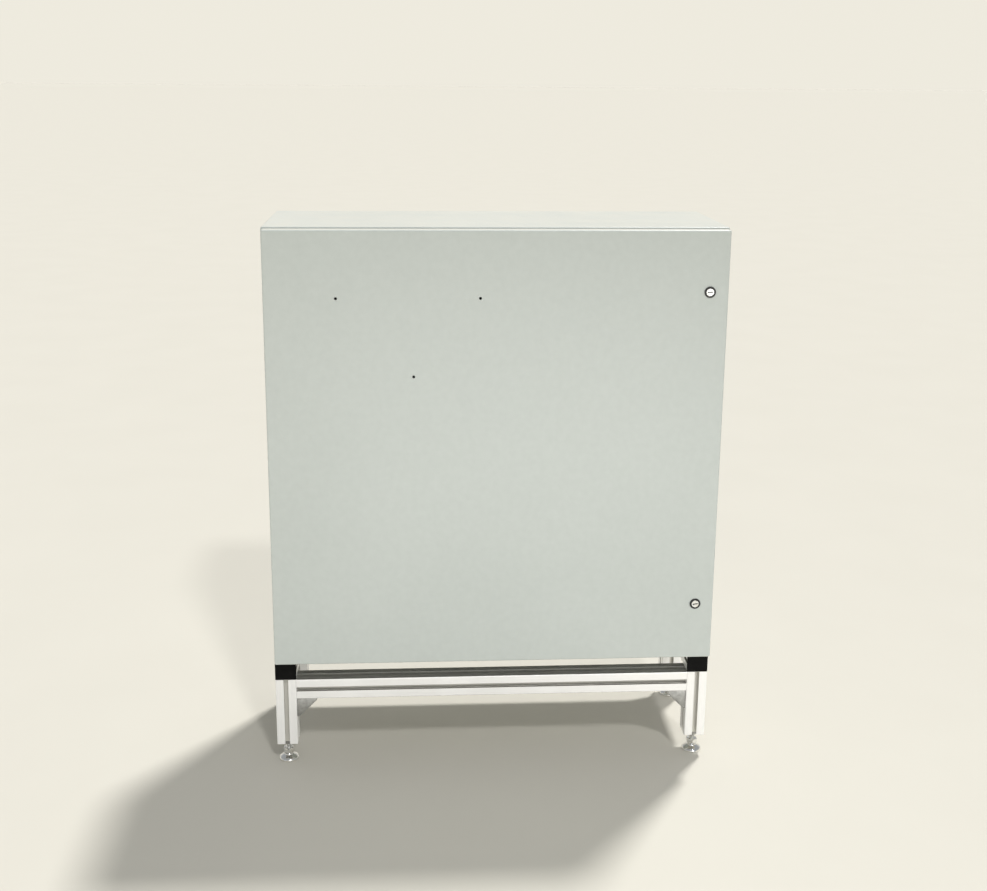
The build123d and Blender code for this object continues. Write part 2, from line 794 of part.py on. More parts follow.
def rail_screw(side, end):
    """Screw from a side rail's core down into the leg below it."""
    seat = body_bottom - slot_depth
    reach = seat - leg_top + rail_screw_engagement
    shank = Pos(0, 0, -reach / 2) * Cylinder(bar_bore_diameter / 2 - shank_clearance, reach)
    middle = Pos(0, 0, rail_screw_head_height / 2)
    head = middle * Cylinder(rail_screw_head_diameter / 2, rail_screw_head_height)
    socket = extrude(middle * hexagon_sketch(rail_screw_socket), amount=rail_screw_head_height)
    return place(side * leg_x, leg_depths[end], seat) * (head - socket + shank)


def foot_pad():
    """Turned pad with a domed top and a recess for the spindle's end."""
    radius = foot_pad_diameter / 2
    recess = spindle_button_radius() + spindle_button_clearance
    collar = recess + foot_pad_collar
    outline = make_face(Polyline(
        (0, 0),
        (radius - foot_pad_edge, 0),
        (radius, foot_pad_edge),
        (radius, foot_pad_rim),
        (radius - foot_pad_step, foot_pad_rim + foot_pad_step),
        (collar + foot_pad_edge, foot_pad_height - foot_pad_step),
        (collar, foot_pad_height),
        (recess, foot_pad_height),
        (recess, foot_pad_floor),
        (0, foot_pad_floor),
        close=True,
    ))
    return revolve(Plane.XZ * outline, Axis.Z)


def spindle_button_radius():
    """Radius of the button on the spindle's lower end."""
    return bar_bore_diameter / 2 + spindle_button_overlap


def foot_spindle():
    """Threaded spindle with a button end in the pad and a hexagon to turn it by."""
    radius = bar_bore_diameter / 2 - running_clearance
    button = spindle_button_radius()
    edge = spindle_button_edge
    top = foot_height + spindle_insertion
    outline = make_face(Polyline(
        (0, foot_pad_floor),
        (button - edge, foot_pad_floor),
        (button, foot_pad_floor + edge),
        (button, foot_pad_height - edge),
        (radius, foot_pad_height),
        (radius, top - spindle_end_chamfer),
        (radius - spindle_end_chamfer, top),
        (0, top),
        close=True,
    ))
    spindle = revolve(Plane.XZ * outline, Axis.Z)
    hex_bottom = foot_pad_height + foot_neck
    return spindle + extrude(Pos(0, 0, hex_bottom) * hexagon_sketch(foot_hex_flats), amount=foot_hex_height)


save(enclosure_body(), "enclosure_body")
save(door(), "door")
save(door_gasket(), "door_gasket")
save(door_rail(door_rail_left_x), "door_rail_left")
save(door_rail(door_rail_right_x), "door_rail_right")
for name, height in hinge_heights.items():
    save(hinge_body_leaf(height), "hinge_body_leaf_" + name)
    save(hinge_door_leaf(height), "hinge_door_leaf_" + name)
    save(hinge_pin(height), "hinge_pin_" + name)
for name, height in latch_heights.items():
    save(latch_housing(height), "latch_housing_" + name)
    save(latch_nut(height), "latch_nut_" + name)
    save(latch_core(height), "latch_core_" + name)
    save(latch_cam(height), "latch_cam_" + name)
    save(latch_cam_nut(height), "latch_cam_nut_" + name)
save(mounting_plate(), "mounting_plate")
save([plate_stud(x, z) for x, z in plate_stud_places()], "plate_studs")
save([plate_nut(x, z) for x, z in plate_stud_places()], "plate_nuts")
gland_plate, gland_gasket, gland_screws = gland_parts()
save(gland_plate, "gland_plate")
save(gland_gasket, "gland_gasket")
save(gland_screws, "gland_screws")
save(body_earth_stud(), "body_earth_stud")
save(door_earth_stud(), "door_earth_stud")
for side_name, side in sides.items():
    save(side_rail(side), "side_rail_" + side_name)
    for end in leg_depths:
        corner_name = end + "_" + side_name
        save(leg(side, end), "leg_" + corner_name)
        save(end_cap(side, end), "end_cap_" + corner_name)
        save(gusset(side, end), "gusset_" + corner_name)
        stand_place = place(side * leg_x, leg_depths[end], 0)
        save(stand_place * foot_pad(), "foot_pad_" + corner_name)
        save(stand_place * foot_spindle(), "foot_spindle_" + corner_name)
for end in leg_depths:
    save(crossbar(end), "crossbar_" + end)
corners = [(side, end) for side in sides.values() for end in leg_depths]
save([rail_screw(side, end) for side, end in corners], "rail_screws")
enclosure_bolts, gusset_screws, slot_nuts = clamping_screws()
save(enclosure_bolts, "enclosure_bolts")
save(gusset_screws, "gusset_screws")
save(slot_nuts, "slot_nuts")
lock_nut = nut(foot_nut_flats, foot_nut_height, bar_bore_diameter + 2 * shank_clearance)
lock_nut_bottom = foot_height - foot_nut_height
lock_nuts = [place(side * leg_x, leg_depths[end], lock_nut_bottom) * lock_nut for side, end in corners]
save(lock_nuts, "foot_lock_nuts")
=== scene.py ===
import math

import bmesh
import bpy
import numpy as np
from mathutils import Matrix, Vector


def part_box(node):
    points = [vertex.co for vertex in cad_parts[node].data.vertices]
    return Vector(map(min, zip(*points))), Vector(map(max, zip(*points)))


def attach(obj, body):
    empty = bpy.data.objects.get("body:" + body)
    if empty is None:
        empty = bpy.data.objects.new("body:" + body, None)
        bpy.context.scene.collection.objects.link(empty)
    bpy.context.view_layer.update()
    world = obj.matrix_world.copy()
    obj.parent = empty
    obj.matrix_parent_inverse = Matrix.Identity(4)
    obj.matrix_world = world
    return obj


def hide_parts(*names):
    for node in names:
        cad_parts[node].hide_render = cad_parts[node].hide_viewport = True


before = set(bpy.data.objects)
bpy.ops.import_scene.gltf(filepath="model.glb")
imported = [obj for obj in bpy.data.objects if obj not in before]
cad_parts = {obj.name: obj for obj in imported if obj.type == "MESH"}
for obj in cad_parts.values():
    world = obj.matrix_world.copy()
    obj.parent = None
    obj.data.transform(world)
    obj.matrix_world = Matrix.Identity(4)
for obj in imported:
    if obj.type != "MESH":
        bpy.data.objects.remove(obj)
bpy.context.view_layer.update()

corners = ["front_left", "rear_left", "front_right", "rear_right"]


# Levelling feet. A zinc-plated steel pad sits on the button of an M12 spindle, which is screwed
# up or down the leg's bore by its forged hexagon. The pad is pressed and turned, the thread rolled.

foot_pad_radius = 0.0215
foot_pad_height = 0.014
foot_pad_chamfer = 0.001
foot_pad_rim_top = 0.0044
foot_pad_dome = [(0.0016, 0.0066), (0.0046, 0.0086)]
foot_pad_collar = [(0.0052, 0.0113), (0.0032, 0.0124), (0.0028, foot_pad_height)]
foot_recess_radius = 0.0072
foot_recess_floor = 0.005
spindle_radius = 0.00595
spindle_pitch = 0.00175
spindle_thread_depth = 0.00095
spindle_button_radius = 0.007
spindle_button_chamfer = 0.002
spindle_hexagon_flats = 0.022
spindle_hexagon_low = 0.018
spindle_hexagon_high = 0.027
spindle_hexagon_chamfer = 0.0009
spindle_hexagon_face_inset = 0.0003
spindle_thread_top = 0.078
spindle_shank_inset = 0.0001
spindle_tip_start = 0.095
spindle_tip_chamfer = 0.001
spindle_top = 0.096
edge_break = 0.0008
flat_sides = 6
steps_round = 72
nut_steps_round = 48
thread_rows_a_turn = 10
nearly_half = 0.499
same_radius = 1e-7
zinc_cool = (0.97, 0.99, 1.01)
zinc_warm = (1.0, 0.98, 0.93)
zinc_patches_a_metre = 160
zinc_gloss_a_metre = 420
zinc_grain_a_metre = 1500
zinc_grain_depth = 0.00002


def rounded(corner_points, radius, closed=False, steps=5):
    """A polyline with soft corners.

    Each corner P becomes the curve (1-t)^2 A + 2t(1-t) P + t^2 B, where A and B lie on its two
    sides, the radius away from P or half-way to the next corner, whichever is nearer.
    """
    corner = np.asarray(corner_points, float)
    before = np.roll(corner, 1, axis=0) - corner
    after = np.roll(corner, -1, axis=0) - corner
    length_before = np.linalg.norm(before, axis=1, keepdims=True)
    length_after = np.linalg.norm(after, axis=1, keepdims=True)
    radius = np.broadcast_to(np.asarray(radius, float).reshape(-1, 1), (len(corner), 1))
    start = corner + before / length_before * np.minimum(radius, length_before * nearly_half)
    end = corner + after / length_after * np.minimum(radius, length_after * nearly_half)
    t = np.linspace(0, 1, steps)[None, :, None]
    curve = (1 - t) ** 2 * start[:, None] + 2 * t * (1 - t) * corner[:, None] + t ** 2 * end[:, None]
    if closed:
        return curve.reshape(-1, corner.shape[1])
    return np.concatenate([corner[:1], curve[1:-1].reshape(-1, corner.shape[1]), corner[-1:]])


def thread_rows(radius, low, high, pitch):
    """Profile rows at one radius, close enough together to carry a thread of that pitch."""
    count = int(math.ceil((high - low) / pitch * thread_rows_a_turn)) + 1
    return np.stack([np.full(count, radius), np.linspace(low, high, count)], axis=1)


def grid_quads(rows, columns, wrap_rows):
    """The quads of a grid whose columns always close on themselves, and whose rows may."""
    row = np.arange(rows if wrap_rows else rows - 1)[:, None]
    column = np.arange(columns)[None, :]
    next_row = (row + 1) % rows
    next_column = (column + 1) % columns
    quads = np.stack([
        row * columns + column,
        row * columns + next_column,
        next_row * columns + next_column,
        next_row * columns + column,
    ], axis=-1)
    return quads.reshape(-1, 4)


def turned(profile, flats=None, thread=None, ring=False, columns=steps_round):
    """A turned blank, as points and faces round its own Z axis.

    Point (i, j) lies at radius r and height z of profile row i, at angle a = 2 pi j / columns. Where
    flats are given, r is no more than half their distance divided by the cosine of the angle from
    the middle of the nearest of six flats. A thread of some radius, pitch and depth cuts every row
    of that radius: r = radius - depth * |2 f - 1|, where f is the fraction of z / pitch - a / 2 pi.
    """
    profile = np.asarray(profile, float)
    angle = np.arange(columns) * 2 * math.pi / columns
    radius = np.repeat(profile[:, :1], columns, axis=1)
    height = np.repeat(profile[:, 1:], columns, axis=1)
    if thread:
        thread_radius, pitch, depth = thread
        turn = (height / pitch - angle / (2 * math.pi)) % 1.0
        on_thread = np.abs(radius - thread_radius) < same_radius
        radius = np.where(on_thread, radius - depth * np.abs(2 * turn - 1), radius)
    if flats:
        sector = 2 * math.pi / flat_sides
        from_middle = (angle + sector / 2) % sector - sector / 2
        radius = np.minimum(radius, flats / 2 / np.cos(from_middle))
    points = np.stack([radius * np.cos(angle), radius * np.sin(angle), height], axis=-1)
    if ring:
        return points.reshape(-1, 3), grid_quads(len(profile), columns, True).tolist()
    inner = points[1:-1].reshape(-1, 3)
    faces = grid_quads(len(profile) - 2, columns, False).tolist()
    first_pole, last_pole = len(inner), len(inner) + 1
    last_row = len(inner) - columns
    ring_next = (np.arange(columns) + 1) % columns
    faces += [[first_pole, int(n), c] for c, n in enumerate(ring_next)]
    faces += [[last_pole, last_row + c, last_row + int(n)] for c, n in enumerate(ring_next)]
    poles = np.array([[0, 0, profile[0, 1]], [0, 0, profile[-1, 1]]])
    return np.concatenate([inner, poles]), faces


def placed(shell, origin, axes=((1, 0, 0), (0, 1, 0), (0, 0, 1))):
    """A shell moved so that its own X, Y and Z run along three axes from an origin."""
    points, faces = shell
    return points @ np.asarray(axes, float) + np.asarray(origin, float), faces


def piece(name, shells, body, material, nodes=(), sharp_angle=32):
    """One object from one or more closed shells, which rides on a body and may replace CAD nodes."""
    starts = np.cumsum([0] + [len(points) for points, faces in shells])
    vertices = np.concatenate([points for points, faces in shells])
    faces = [
        [start + i for i in face]
        for start, (points, shell_faces) in zip(starts, shells) for face in shell_faces
    ]
    mesh = bpy.data.meshes.new(name)
    mesh.from_pydata(vertices.tolist(), [], faces)
    work = bmesh.new()
    work.from_mesh(mesh)
    bmesh.ops.recalc_face_normals(work, faces=work.faces)
    work.to_mesh(mesh)
    work.free()
    mesh.shade_smooth()
    mesh.set_sharp_from_angle(angle=math.radians(sharp_angle))
    mesh.materials.append(material)
    thing = bpy.data.objects.new(name, mesh)
    bpy.context.scene.collection.objects.link(thing)
    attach(thing, body)
    if nodes:
        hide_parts(*nodes)
    return thing


def add_node(tree, kind, inputs=None, **settings):
    """A shader node whose inputs are numbers, colours or another node's output."""
    node = tree.nodes.new(kind)
    for key, value in settings.items():
        setattr(node, key, value)
    for key, value in (inputs or {}).items():
        if isinstance(value, bpy.types.NodeSocket):
            tree.links.new(value, node.inputs[key])
        else:
            node.inputs[key].default_value = value
    return node


def new_finish(name):
    """An empty material with its shader, and the piece's own coordinates."""
    material = bpy.data.materials.new(name)
    material.use_nodes = True
    tree = material.node_tree
    shader = tree.nodes["Principled BSDF"]
    coordinates = add_node(tree, "ShaderNodeTexCoord").outputs["Object"]
    return material, tree, shader, coordinates


def clouds(tree, coordinates, grains_a_metre, stretch=(1, 1, 1), detail=3.0):
    """Soft noise from 0 to 1. A stretch below 1 draws its grains out along that axis."""
    mapping = add_node(tree, "ShaderNodeMapping", {"Vector": coordinates, "Scale": stretch})
    inputs = {"Vector": mapping.outputs["Vector"], "Scale": grains_a_metre, "Detail": detail}
    return add_node(tree, "ShaderNodeTexNoise", inputs).outputs[0]


def between(tree, factor, low, high, start=0.35, end=0.65):
    """A number that goes from low to high as the factor goes from start to end."""
    inputs = {"Value": factor, "From Min": start, "From Max": end, "To Min": low, "To Max": high}
    return add_node(tree, "ShaderNodeMapRange", inputs).outputs["Result"]


def two_tone(tree, factor, first, second, start=0.35, end=0.65):
    """A colour that goes from the first to the second as the factor goes from start to end."""
    ramp = add_node(tree, "ShaderNodeValToRGB", {"Fac": factor})
    for stop, place, colour in zip(ramp.color_ramp.elements, (start, end), (first, second)):
        stop.position = place
        stop.color = (*colour, 1)
    return ramp.outputs["Color"]


def relief(tree, shader, height, depth):
    """Fine relief, of so many metres, from a height of 0 to 1."""
    bump = add_node(tree, "ShaderNodeBump", {"Height": height, "Strength": 1.0, "Distance": depth})
    tree.links.new(bump.outputs["Normal"], shader.inputs["Normal"])


def bright_zinc(name, grey, smooth, dull):
    """Bright zinc plating: a mirror with a faint blue and straw cast, and duller patches."""
    material, tree, shader, coordinates = new_finish(name)
    patches = clouds(tree, coordinates, zinc_patches_a_metre)
    cool = [grey * part for part in zinc_cool]
    warm = [grey * part for part in zinc_warm]
    tree.links.new(two_tone(tree, patches, cool, warm), shader.inputs["Base Color"])
    gloss = between(tree, clouds(tree, coordinates, zinc_gloss_a_metre), smooth, dull)
    tree.links.new(gloss, shader.inputs["Roughness"])
    shader.inputs["Metallic"].default_value = 1.0
    relief(tree, shader, clouds(tree, coordinates, zinc_grain_a_metre), zinc_grain_depth)
    return material


foot_finish = bright_zinc("bright_zinc_foot", grey=0.86, smooth=0.07, dull=0.18)
pad_underside = [(0, 0), (foot_pad_radius - foot_pad_chamfer, 0)]
pad_rim = [(foot_pad_radius, foot_pad_chamfer), (foot_pad_radius, foot_pad_rim_top)]
pad_dome = [(foot_pad_radius - inward, height) for inward, height in foot_pad_dome]
pad_collar = [(foot_recess_radius + outward, height) for outward, height in foot_pad_collar]
pad_recess = [
    (foot_recess_radius, foot_pad_height),
    (foot_recess_radius, foot_recess_floor),
    (0, foot_recess_floor),
]
pad_outline = rounded(pad_underside + pad_rim + pad_dome + pad_collar + pad_recess, edge_break)
hexagon_corner = spindle_hexagon_flats / 2 / math.cos(math.pi / flat_sides)
hexagon_face = spindle_hexagon_flats / 2 - spindle_hexagon_face_inset
spindle_outline = np.concatenate([
    [
        (0, foot_recess_floor),
        (spindle_button_radius - spindle_button_chamfer, foot_recess_floor),
        (spindle_button_radius, foot_recess_floor + spindle_button_chamfer),
        (spindle_button_radius, foot_pad_height - spindle_button_chamfer),
    ],
    thread_rows(spindle_radius, foot_pad_height, spindle_hexagon_low, spindle_pitch),
    [
        (hexagon_face, spindle_hexagon_low),
        (hexagon_corner, spindle_hexagon_low + spindle_hexagon_chamfer),
        (hexagon_corner, spindle_hexagon_high - spindle_hexagon_chamfer),
        (hexagon_face, spindle_hexagon_high),
    ],
    thread_rows(spindle_radius, spindle_hexagon_high, spindle_thread_top, spindle_pitch),
    [
        (spindle_radius - spindle_shank_inset, spindle_tip_start),
        (spindle_radius - spindle_tip_chamfer, spindle_top),
        (0, spindle_top),
    ],
])
spindle_thread = (spindle_radius, spindle_pitch, spindle_thread_depth)
for corner in corners:
    low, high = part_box("foot_pad_" + corner)
    foot_place = ((low.x + high.x) / 2, (low.y + high.y) / 2, low.z)
    piece("pad_" + corner, [placed(turned(pad_outline), foot_place)],
          "foot_" + corner, foot_finish, ["foot_pad_" + corner])
    spindle = turned(spindle_outline, spindle_hexagon_flats, spindle_thread, columns=nut_steps_round)
    piece("spindle_" + corner, [placed(spindle, foot_place)],
          "foot_" + corner, foot_finish, ["foot_spindle_" + corner])


# Lock nuts. Thin zinc-plated hexagon nuts on the four spindles, tightened against the ends of
# the legs so that the feet keep their height. Their zinc is painted darker, as shade under the legs.

lock_nut_flats = 0.019
lock_nut_height = 0.008
lock_nut_bore = 0.0061
lock_nut_chamfer = 0.0009


def nut_profile(flats, height, bore, chamfer):
    """A nut's section, from its bore round the outside and back: a ring with turned chamfers."""
    corner = flats / 2 / math.cos(math.pi / flat_sides)
    face = flats / 2 - chamfer / 3
    return [
        (bore, chamfer / 2),
        (bore + chamfer / 2, 0),
        (face, 0),
        (corner, chamfer),
        (corner, height - chamfer),
        (face, height),
        (bore + chamfer / 2, height),
        (bore, height - chamfer / 2),
    ]


nut_finish = bright_zinc("bright_zinc_nut", grey=0.74, smooth=0.20, dull=0.38)
# painted shade: a darker copy of the nut zinc, for the lock nuts in the shade under the legs
shaded_nut_finish = bright_zinc("shaded_zinc_nut", grey=0.40, smooth=0.26, dull=0.44)
lock_nut_section = nut_profile(lock_nut_flats, lock_nut_height, lock_nut_bore, lock_nut_chamfer)
lock_nut = turned(lock_nut_section, lock_nut_flats, ring=True, columns=nut_steps_round)
lock_nut_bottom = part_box("foot_lock_nuts")[0].z
for corner in corners:
    low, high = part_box("foot_pad_" + corner)
    nut_place = ((low.x + high.x) / 2, (low.y + high.y) / 2, lock_nut_bottom)
    piece("lock_nut_" + corner, [placed(lock_nut, nut_place)], "cabinet_and_stand",
          shaded_nut_finish, ["foot_lock_nuts"])


# Bars of the stand. Slotted aluminium extrusions, sawn to length and clear anodised, which leaves
# fine die lines along each bar. They are joined by screws into their cores and corner brackets.

bar_tone = (0.945, 0.945, 0.95)
bar_tone_light = (0.99, 0.99, 0.99)
# painted shade: the slots' colour, darker where shade falls in them
slot_shade_tone = (0.72, 0.71, 0.67)
# painted shade: upward faces darkened as the shade and dark reflection under the cabinet
upward_shade_tone = (0.15, 0.147, 0.13)
slot_lip_low = 0.0214
slot_lip_high = 0.0221
upward_shade_share = 0.9
upward_shade_above = (0.6, 0.9)
anodising_clouds_a_metre = 14
anodising_roughness = (0.34, 0.46)
anodising_metallic = 0.38
die_lines_a_metre = 900
die_line_stretch = 300
die_line_depth = 0.00003


def dress(node, material):
    """Gives a CAD node its finish."""
    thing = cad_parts[node]
    for slot in thing.material_slots:
        slot.material = material
    if not thing.material_slots:
        thing.data.materials.append(material)


def pair_middles(first, second, axis):
    """The middle between two bars along one axis, and each bar's distance from it."""
    middles = [sum(corner[axis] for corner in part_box(node)) / 2 for node in (first, second)]
    return sum(middles) / 2, abs(middles[1] - middles[0]) / 2


def covered(tree, share, under, over):
    """One colour laid over another's output, by a share from 0 to 1."""
    mixed = add_node(tree, "ShaderNodeMix", {"Factor": share}, data_type="RGBA")
    tree.links.new(under, mixed.inputs["A"])
    mixed.inputs["B"].default_value = (*over, 1)
    return mixed.outputs["Result"]


def upward_share(tree):
    """How far the surface faces up: the height part of its normal."""
    facing = add_node(tree, "ShaderNodeNewGeometry").outputs["Normal"]
    return add_node(tree, "ShaderNodeSeparateXYZ", {0: facing}).outputs["Z"]


def worked_out(tree, operation, *numbers):
    """What one step of arithmetic makes of its numbers."""
    return add_node(tree, "ShaderNodeMath", dict(enumerate(numbers)), operation=operation).outputs[0]


def anodised_bar(name, along, spans):
    """Clear anodising over die lines, which are noise drawn out along the bar.

    The distance from the bar's axis is the larger of ||c - middle| - offset| over its two cross
    axes. Where it is short of the bar's faces the point lies in a slot, whose colour is darkened as
    painted shade. The upward faces are darkened too, as painted shade and a painted dark reflection
    of the cabinet's underside.
    """
    material, tree, shader, coordinates = new_finish(name)
    stretch = [1.0, 1.0, 1.0]
    stretch[along] = 1 / die_line_stretch
    lines = clouds(tree, coordinates, die_lines_a_metre, stretch)
    soft = clouds(tree, coordinates, anodising_clouds_a_metre)
    place = add_node(tree, "ShaderNodeSeparateXYZ", {0: coordinates}).outputs
    distances = []
    for axis, (middle, offset) in spans.items():
        from_middle = worked_out(tree, "ABSOLUTE", worked_out(tree, "SUBTRACT", place[axis], middle))
        from_bar = worked_out(tree, "ABSOLUTE", worked_out(tree, "SUBTRACT", from_middle, offset))
        distances.append(from_bar)
    furthest = worked_out(tree, "MAXIMUM", *distances)
    in_slot = between(tree, furthest, 1.0, 0.0, slot_lip_low, slot_lip_high)
    faces = two_tone(tree, lines, bar_tone, bar_tone_light)
    slotted = covered(tree, in_slot, faces, slot_shade_tone)
    upward_shade = between(tree, upward_share(tree), 0.0, upward_shade_share, *upward_shade_above)
    tree.links.new(covered(tree, upward_shade, slotted, upward_shade_tone), shader.inputs["Base Color"])
    tree.links.new(between(tree, soft, *anodising_roughness), shader.inputs["Roughness"])
    shader.inputs["Metallic"].default_value = anodising_metallic
    relief(tree, shader, lines, die_line_depth)
    return material


across_pair = pair_middles("leg_front_left", "leg_front_right", 0)
deep_pair = pair_middles("leg_front_left", "leg_rear_left", 1)
crossbar_height = pair_middles("crossbar_front", "crossbar_front", 2)
rail_height = pair_middles("side_rail_left", "side_rail_left", 2)
bar_sideways = anodised_bar("anodised_bar_sideways", 0, {1: deep_pair, 2: crossbar_height})
bar_deep = anodised_bar("anodised_bar_deep", 1, {0: across_pair, 2: rail_height})
bar_upright = anodised_bar("anodised_bar_upright", 2, {0: across_pair, 1: deep_pair})
for node in ("crossbar_front", "crossbar_rear"):
    dress(node, bar_sideways)
for node in ("side_rail_left", "side_rail_right"):
    dress(node, bar_deep)
for corner in corners:
    dress("leg_" + corner, bar_upright)


# Corner brackets. Cast aluminium angles with two webs, tumbled to a dull grey, which stiffen the
# joints under the crossbars. Each is held by two screws into nuts in the bars' slots.

bracket_plate = 0.005
bracket_web = 0.004
bracket_fillet = 0.007
bracket_edge = 0.0009
bracket_edge_rows = 4
bracket_side_inset = 0.0003
bracket_web_inset = 0.0002
bracket_web_corner = 0.002
bracket_dark = (0.33, 0.33, 0.32)
bracket_light = (0.46, 0.46, 0.45)
casting_pebbles_a_metre = 1100
casting_pebble_depth = 0.00012
casting_patches_a_metre = 90
casting_roughness = (0.42, 0.6)
casting_metallic = 0.9


def slab(outline, low, high, edge):
    """A flat piece with soft edges, as points and faces.

    Ring k of the outline moves in along its own normals by edge * (1 - cos w) while its height goes
    from the face by edge * (1 - sin w), with w from 90 degrees at the face to 0 at the side. The two
    faces are closed by one polygon each.
    """
    outline = np.asarray(outline, float)
    tangent = np.roll(outline, -1, axis=0) - np.roll(outline, 1, axis=0)
    normal = np.stack([tangent[:, 1], -tangent[:, 0]], axis=1)
    normal /= np.linalg.norm(normal, axis=1, keepdims=True)
    turn = np.linspace(math.pi / 2, 0, bracket_edge_rows)
    inset = edge * (1 - np.cos(turn))
    rise = edge * (1 - np.sin(turn))
    insets = np.concatenate([inset, inset[::-1]])
    heights = np.concatenate([low + rise, high - rise[::-1]])
    rings = outline[None] - normal[None] * insets[:, None, None]
    levels = np.broadcast_to(heights[:, None, None], (*rings.shape[:2], 1))
    points = np.concatenate([rings, levels], axis=-1).reshape(-1, 3)
    faces = grid_quads(len(heights), len(outline), False).tolist()
    last = (len(heights) - 1) * len(outline)
    faces.append(list(range(len(outline) - 1, -1, -1)))
    faces.append(list(range(last, last + len(outline))))
    return points, faces


def tumbled_casting(name):
    """A tumbled casting: dull grey with a fine pebbled skin."""
    material, tree, shader, coordinates = new_finish(name)
    pebbles = clouds(tree, coordinates, casting_pebbles_a_metre, detail=4.0)
    patches = clouds(tree, coordinates, casting_patches_a_metre)
    tree.links.new(two_tone(tree, patches, bracket_dark, bracket_light), shader.inputs["Base Color"])
    tree.links.new(between(tree, pebbles, *casting_roughness), shader.inputs["Roughness"])
    shader.inputs["Metallic"].default_value = casting_metallic
    relief(tree, shader, pebbles, casting_pebble_depth)
    return material


casting_finish = tumbled_casting("tumbled_casting")
for corner in corners:
    low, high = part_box("gusset_" + corner)
    length = high.x - low.x
    width = high.y - low.y
    away = 1 if corner.endswith("left") else -1
    bracket_corner = (low.x if away > 0 else high.x, (low.y + high.y) / 2, high.z)
    bracket_axes = ((away, 0, 0), (0, 0, -1), (0, away, 0))
    angle_outline = rounded([
        (0, 0), (length, 0), (length, bracket_plate), (bracket_plate, bracket_plate),
        (bracket_plate, length), (0, length),
    ], [bracket_edge] * 3 + [bracket_fillet] + [bracket_edge] * 2, closed=True)
    near = bracket_web_inset
    far = length - bracket_web_inset
    web_outline = rounded([
        (near, near), (far, near), (far, bracket_plate), (bracket_plate, far), (near, far),
    ], [bracket_edge] * 2 + [bracket_web_corner] * 2 + [bracket_edge], closed=True)
    half = width / 2
    shells = [
        slab(angle_outline, bracket_side_inset - half, half - bracket_side_inset, bracket_edge),
        slab(web_outline, -half, bracket_web - half, bracket_edge),
        slab(web_outline, half - bracket_web, half, bracket_edge),
    ]
    piece("bracket_" + corner, [placed(shell, bracket_corner, bracket_axes) for shell in shells],
          "cabinet_and_stand", casting_finish, ["gusset_" + corner])


# Screws of the stand. Zinc-plated round-headed socket screws in the brackets, cheese-head screws
# down into the legs, and cast nuts that turn and lock in the slots.

screw_finish = bright_zinc("bright_zinc_screw", grey=0.72, smooth=0.22, dull=0.42)
for node in ("gusset_screws", "rail_screws", "slot_nuts"):
    dress(node, screw_finish)


# End caps. Black nylon squares moulded with four pegs and a fine eroded texture, pushed into the
# corner cavities of the bars under the cabinet.

cap_black = (0.002, 0.002, 0.002)
cap_black_worn = (0.005, 0.005, 0.005)
cap_wear_a_metre = 70
cap_roughness = (0.5, 0.64)
cap_specular = 0.1
cap_skin_a_metre = 2200
cap_skin_depth = 0.00003


def moulded_nylon(name):
    """Moulded plastic: nearly black, with an eroded skin and a little wear."""
    material, tree, shader, coordinates = new_finish(name)
    skin = clouds(tree, coordinates, cap_skin_a_metre, detail=2.0)
    wear = clouds(tree, coordinates, cap_wear_a_metre)
    tree.links.new(two_tone(tree, wear, cap_black, cap_black_worn), shader.inputs["Base Color"])
    tree.links.new(between(tree, wear, *cap_roughness), shader.inputs["Roughness"])
    shader.inputs["Specular IOR Level"].default_value = cap_specular
    relief(tree, shader, skin, cap_skin_depth)
    return material


cap_finish = moulded_nylon("moulded_nylon")
for corner in corners:
    dress("end_cap_" + corner, cap_finish)


# Cabinet. A folded steel wrapper with a welded back, powder-coated light grey inside and out. A
# flange and a raised rim run round its front opening. Dust has settled on the upward faces.

paint_tone = (0.510, 0.551, 0.534)
paint_tone_light = (0.572, 0.613, 0.596)
paint_fleck = (0.44, 0.47, 0.455)
paint_clouds_a_metre = 3.2
paint_cloud_reach = (0.2, 0.8)
paint_mottle_a_metre = 75
paint_mottle_detail = 6.0
paint_flecks_a_metre = 330
paint_fleck_reach = (0.76, 0.80)
paint_fleck_share = 0.5
paint_roughness = (0.27, 0.37)
paint_specular = 0.45
orange_peel_a_metre = 420
orange_peel_depth = 0.00009
# dust, and where laid thick a painted highlight: the pale tone on upward faces
dust_and_highlight_tone = (0.635, 0.625, 0.565)
dust_clouds_a_metre = 17
dust_cloud_detail = 9.0
dust_cloud_reach = (0.25, 0.75)
dust_and_highlight_above = (0.93, 0.99)
dust_dulls = 0.32


